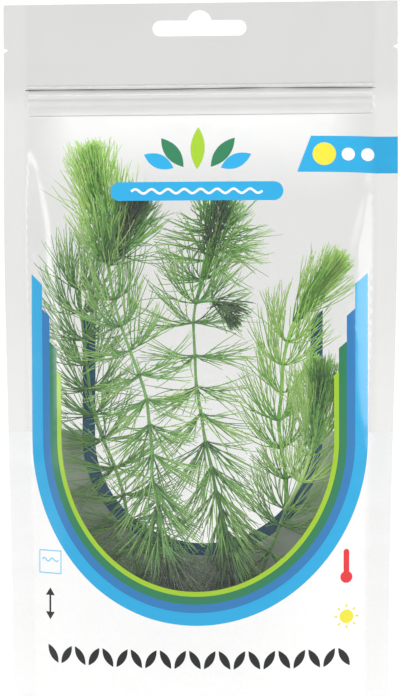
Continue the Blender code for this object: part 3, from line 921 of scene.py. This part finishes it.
class Tubes:
    """Thin closed tubes and teeth gathered into one mesh, with a vigour for each point."""

    def __init__(self):
        self.points, self.faces, self.vigour = [], [], []

    def tube(self, path, radii, vigours, sides=3):
        """A closed tapered tube along a run of points."""
        first = len(self.points)
        last = len(path) - 1
        for index, place in enumerate(path):
            run = path[min(index + 1, last)] - path[max(index - 1, 0)]
            across = run.cross(Vector((0.31, 0.93, 0.12))).normalized()
            other = run.cross(across).normalized()
            for side in range(sides):
                angle = 2 * math.pi * side / sides
                spoke = across * math.cos(angle) + other * math.sin(angle)
                self.points.append(place + spoke * radii[index])
                self.vigour.append(vigours[index])
        for index in range(last):
            low = first + index * sides
            for side in range(sides):
                after = (side + 1) % sides
                self.faces.append((low + side, low + after, low + sides + after, low + sides + side))
        self.faces.append(tuple(first + side for side in reversed(range(sides))))
        self.faces.append(tuple(first + last * sides + side for side in range(sides)))

    def tooth(self, place, run, out, size, vigour):
        """A tiny thorn on a leaf's edge, a closed tetrahedron."""
        first = len(self.points)
        along = run.normalized() * TOOTH_BASE
        across = along.cross(out).normalized() * TOOTH_BASE * 0.6
        self.points += [place - along, place + along * 0.6 + across, place + along * 0.6 - across,
                        place + out * size + along * 2]
        self.vigour += [vigour] * 4
        self.faces += [(first + 2, first + 1, first), (first, first + 1, first + 3),
                       (first + 1, first + 2, first + 3), (first + 2, first, first + 3)]

    def make(self, name, material):
        made = add_mesh(name, self.points, self.faces, [material])
        layer = made.data.attributes.new("vigour", "FLOAT", "POINT")
        layer.data.foreach_set("value", self.vigour)
        return made


class Whorl:
    """The place of one whorl: its node, the stem's direction there and its layer of the pouch."""

    def __init__(self, x, z, run, layer):
        length = math.hypot(*run)
        self.x, self.z, self.layer = x, z, layer
        self.up = (run[0] / length, run[1] / length)
        self.side = (self.up[1], -self.up[0])

    def place(self, across, deep, along):
        """A point off the node as a place in the pouch, pressed flat between its films and side seals."""
        x = self.x + across * self.side[0] + along * self.up[0]
        z = self.z + across * self.side[1] + along * self.up[1]
        limit = seam_x(z) - SIDE_CLEARANCE - SIDE_SOFTNESS
        if abs(x) > limit:
            x = math.copysign(limit + SIDE_SOFTNESS * math.tanh((abs(x) - limit) / SIDE_SOFTNESS), x)
        share = min(abs(x) / (seam_x(0) * GUSSET_END), 1)
        z = max(z, CAD_FILM + gusset_rise(share) + 0.8 * MM)
        space = room(x, z)
        half = LEAF_DEPTH * space
        y = self.layer * space + half * math.tanh(deep / half)
        return Vector((x, y, z))


def curl_angles(curl):
    """A leaf's first and last angle off the stem, in degrees, for a curl."""
    for low, high in zip(CURLS, CURLS[1:]):
        if curl <= high[0] or high is CURLS[-1]:
            share = min(max((curl - low[0]) / (high[0] - low[0]), 0), 1)
            return mix(low[1], high[1], share), mix(low[2], high[2], share)


def foot_shade(place):
    """How much of its vigour a leaf loses to painted shade at a place near the plants' feet, where the
    pouch's bottom lies in shadow.
    """
    off = math.hypot(place.x - FOOT_SHADE_PLACE[0], place.z - FOOT_SHADE_PLACE[1])
    return FOOT_SHADE * (1 - smoothstep(*FOOT_SHADE_REACH, off))


def grow_leaf(tubes, whorl, angle, turn, aim, length, draw, vigours, rim):
    """A leaf that forks twice. Each part bends from its own angle towards `aim`, and its forks fan out.

    In a brush the leaves' parts are darker towards its axis, as painted shade of its dense middle, and only
    those out at its rim are bright; `rim` is the least share of that brightness. It is None elsewhere.
    """
    def part(place, angle, turn, bend, level):
        step = length * LEAF_SHARES[level] * draw.uniform(0.85, 1.15) / LEAF_STEPS[level]
        local = [place]
        waver = draw.gauss(0, WAVER[level]) / LEAF_STEPS[level]
        for _ in range(LEAF_STEPS[level]):
            angle += (aim - angle) * min(bend * step / length, 1) + waver
            flat, rise = step * math.sin(angle), step * math.cos(angle)
            across, deep, along = local[-1]
            local.append((across + flat * math.cos(turn), deep + flat * math.sin(turn), along + rise))
        path = [whorl.place(*point) for point in local]
        shares = [(level + index / LEAF_STEPS[level]) / 3 for index in range(len(path))]
        if rim is not None:
            shares = [share * mix(rim, 1, smoothstep(*BRUSH_RIM, abs(point[0])))
                      for share, point in zip(shares, local)]
        radii = [mix(LEAF_RADII[level], LEAF_RADII[level + 1], index / LEAF_STEPS[level])
                 for index in range(len(path))]
        tubes.tube(path, radii, [mix(*vigours, share) - foot_shade(point)
                                 for share, point in zip(shares, path)])
        if level == 2:
            out = Vector((math.cos(turn) * whorl.side[0], 0, math.cos(turn) * whorl.side[1]))
            for index in range(1, LEAF_STEPS[level]):
                run = path[index + 1] - path[index]
                away = (out - run * (out.dot(run) / run.length_squared)).normalized()
                tubes.tooth(path[index], run, away, TOOTH_HEIGHT * draw.uniform(0.6, 1), vigours[1])
            return
        fan = math.radians(draw.uniform(*FORK_FAN))
        for side, quicken in FORKS:
            outward = 1 if aim < angle else -1
            part(local[-1], angle + side * fan * outward, turn + side * draw.uniform(*FORK_TWIST),
                 bend * quicken, level + 1)

    part((0, 0, 0), angle, turn, LEAF_BEND, 0)


def brush_angle(angles, curl, crowd):
    """A brush leaf's angle off the stem, from BRUSH_FIRST or BRUSH_LAST."""
    loose, foot, tip, tight = angles
    angle = mix(loose, mix(foot, tip, crowd), max(0, min(curl, 1)))
    return mix(angle, tight, max(0, min(curl - 1, 1)))


def grow_whorl(tubes, branch, whorl, curl, length, draw, vigour, crowd=None):
    """One ring of leaves. crowd is how far along a brush the whorl is, from 0 to 1, or None off a brush."""
    count, core, shade, rim = branch.leaves, LEAF_CORE, 0, None
    if crowd is None:
        first, last = curl_angles(curl)
    else:
        count //= 2
        first, last = brush_angle(BRUSH_FIRST, curl, crowd), brush_angle(BRUSH_LAST, curl, crowd)
        rim = mix(BRUSH_RIM_LEAST, 1, smoothstep(BRUSH_RIM_FROM, 1, crowd))
        shade = FACING_SHADE[branch.slot]
        if branch.slot == "leaf_dark":
            core = DARK_CORE
            vigour -= DARK_TIP * smoothstep(DARK_FROM, DARK_TO, crowd)
    offset = draw.uniform(0, 2 * math.pi)
    for number in range(count):
        turn = offset + 2 * math.pi * (number + draw.uniform(-0.3, 0.3)) / count
        sideways = math.copysign(abs(math.cos(turn)) ** SIDE_BIAS, math.cos(turn))
        turn = math.acos(sideways) * (1 if math.sin(turn) > 0 else -1)
        stray = draw.gauss(0, branch.spread)
        facing = shade * (1 - abs(sideways))
        grow_leaf(tubes, whorl, math.radians(first + stray * 0.6), turn, math.radians(last + stray),
                  length * draw.uniform(0.82, 1.08), draw,
                  (vigour - core - facing / 2, vigour + LEAF_TIP - facing + draw.uniform(*TIP_STRAY)), rim)


def spline_point(points, place):
    """A point of a smooth curve through (x, z) points, place counting along them."""
    index = min(int(place), len(points) - 2)
    share = place - index
    p0 = points[max(index - 1, 0)]
    p1, p2 = points[index], points[index + 1]
    p3 = points[min(index + 2, len(points) - 1)]
    return tuple(0.5 * (2 * b + (c - a) * share + (2 * a - 5 * b + 4 * c - d) * share**2
                        + (3 * b - a - 3 * c + d) * share**3) for a, b, c, d in zip(p0, p1, p2, p3))


def make_stem(tubes, branch, spot, last):
    """The stem, thicker where a whorl grows. spot gives a place on it and last is its last node."""
    steps = STEM_STEPS * last
    path, radii, vigours = [], [], []
    for step in range(steps + 1):
        off_node = abs(step - STEM_STEPS * round(step / STEM_STEPS))
        path.append(spot(last * step / steps))
        radii.append(mix(*STEM_RADII, step / steps) * (1 + NODE_SWELL * max(0, 1 - off_node / NODE_REACH)))
        vigours.append(mix(*branch.vigour, step / steps))
    tubes.tube(path, radii, vigours, STEM_SIDES)


def make_branch(branch, number, material):
    draw = random.Random(500 + number)
    nodes = [(x * MM, z * MM) for x, z in branch.nodes]
    last = len(nodes) - 1
    brush_from = last + 1 if branch.brush_from is None else branch.brush_from
    tubes = Tubes()

    def layer_at(place):
        return mix(branch.start_layer, branch.layer, smoothstep(0, 1, place))

    def spot(place):
        x, z = spline_point(nodes, place)
        return Vector((x, layer_at(place) * room(x, z), z))

    def whorl_at(place):
        x, z = spline_point(nodes, place)
        before, after = spline_point(nodes, max(place - 0.2, 0)), spline_point(nodes, min(place + 0.2, last))
        return Whorl(x, z, (after[0] - before[0], after[1] - before[1]), layer_at(place))

    make_stem(tubes, branch, spot, last)
    for index in range(1, min(brush_from, last + 1)):
        grown = smoothstep(0, branch.ramp, index)
        along = index / last
        grow_whorl(tubes, branch, whorl_at(index), mix(*branch.curl, along**CURL_POWER),
                   branch.length * mix(YOUNGEST_LENGTH, 1, grown) * MM, draw,
                   mix(*branch.vigour, along) + draw.uniform(-WHORL_STRAY, WHORL_STRAY))
    if brush_from < last:
        curl = branch.curl[1]
        run = math.dist(nodes[brush_from], nodes[-1]) * BRUSH_OVERRUN
        count = round(run / BRUSH_SPACING)
        for index in range(count + 1):
            share = index / count
            left = (1 - share) * run + BRUSH_TOP
            length = min(branch.length * MM, mix(left * BRUSH_LOOSE_LENGTH, left, min(curl, 1)))
            grow_whorl(tubes, branch, whorl_at(mix(brush_from, last, share)), curl, length, draw,
                       mix(*branch.vigour, mix(BRUSH_VIGOUR_FROM, 1, share)), share)
    piece = tubes.make(branch.name.replace("hornwort_", "") + "_leaves", material)
    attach(piece, "root")
    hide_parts(branch.name)


# Scene

def make_stage():
    """A white floor that curves up into a backdrop."""
    profile = [(STAGE_FRONT, 0.0), (STAGE_DEPTH, 0.0)]
    for index in range(1, STAGE_STEPS + 1):
        angle = math.pi / 2 * index / STAGE_STEPS
        profile.append((STAGE_DEPTH + STAGE_RADIUS * math.sin(angle), STAGE_RADIUS * (1 - math.cos(angle))))
    profile.append((STAGE_DEPTH + STAGE_RADIUS, STAGE_TOP))
    points = [(x, y, z) for y, z in profile for x in (-STAGE_WIDTH, STAGE_WIDTH)]
    faces = [(2 * i, 2 * i + 1, 2 * i + 3, 2 * i + 2) for i in range(len(profile) - 1)]
    white, nodes, links = new_material("backdrop")
    shader = nodes["Principled BSDF"]
    set_inputs(shader, Base_Color=(0.5, 0.5, 0.5, 1), Roughness=0.9, Emission_Color=(1, 1, 1, 1))
    glow = fade(nodes, links, object_axes(nodes, links)["Y"], *STAGE_GLOW)
    links.new(glow, shader.inputs["Emission Strength"])
    backdrop = add_mesh("backdrop", points, faces, [white])


def area_light(name, place, target, size, power):
    data = bpy.data.lights.new(name, "AREA")
    data.shape = "RECTANGLE"
    data.size, data.size_y = size
    data.energy = power
    light = bpy.data.objects.new(name, data)
    light.location = place
    light.rotation_euler = (Vector(target) - Vector(place)).to_track_quat("-Z", "Y").to_euler()
    bpy.context.scene.collection.objects.link(light)


def make_lights():
    world = bpy.data.worlds.new("studio")
    world.use_nodes = True
    set_inputs(world.node_tree.nodes["Background"], Color=(1, 1, 1, 1), Strength=WORLD_STRENGTH)
    bpy.context.scene.world = world
    for row in LIGHTS:
        area_light(*row)


def make_camera():
    """Nearly square on from a little to the right, level with the pouch's middle."""
    azimuth, look_at = math.radians(CAMERA_AZIMUTH), Vector(LOOK_AT)
    camera = bpy.data.objects.new("camera", bpy.data.cameras.new("camera"))
    camera.data.lens = CAMERA_LENS
    camera.location = (look_at.x + CAMERA_DISTANCE * math.sin(azimuth),
                       -CAMERA_DISTANCE * math.cos(azimuth), CAMERA_Z)
    camera.rotation_euler = (look_at - camera.location).to_track_quat("-Z", "Y").to_euler()
    bpy.context.scene.collection.objects.link(camera)
    bpy.context.scene.camera = camera


def main():
    make_camera()
    make_lights()
    make_stage()
    bpy.context.scene.view_settings.view_transform = "Standard"
    materials = film_materials()
    make_film("front_panel", "front_film", -1, front_print(), materials, 3.1)
    make_film("back_panel", "back_film", 1, back_print(), materials, 8.4)
    make_gusset(materials["clear"])
    plastic = plastic_material("milky_plastic")
    for name in ("zip_track_front", "zip_track_back"):
        track = bpy.data.objects[name].data
        track.materials.clear()
        track.materials.append(plastic)
    leaves = {slot: leaf_material(*look) for slot, look in LEAF_LOOKS.items()}
    for number, branch in enumerate(BRANCHES):
        make_branch(branch, number, leaves[branch.slot])


main()
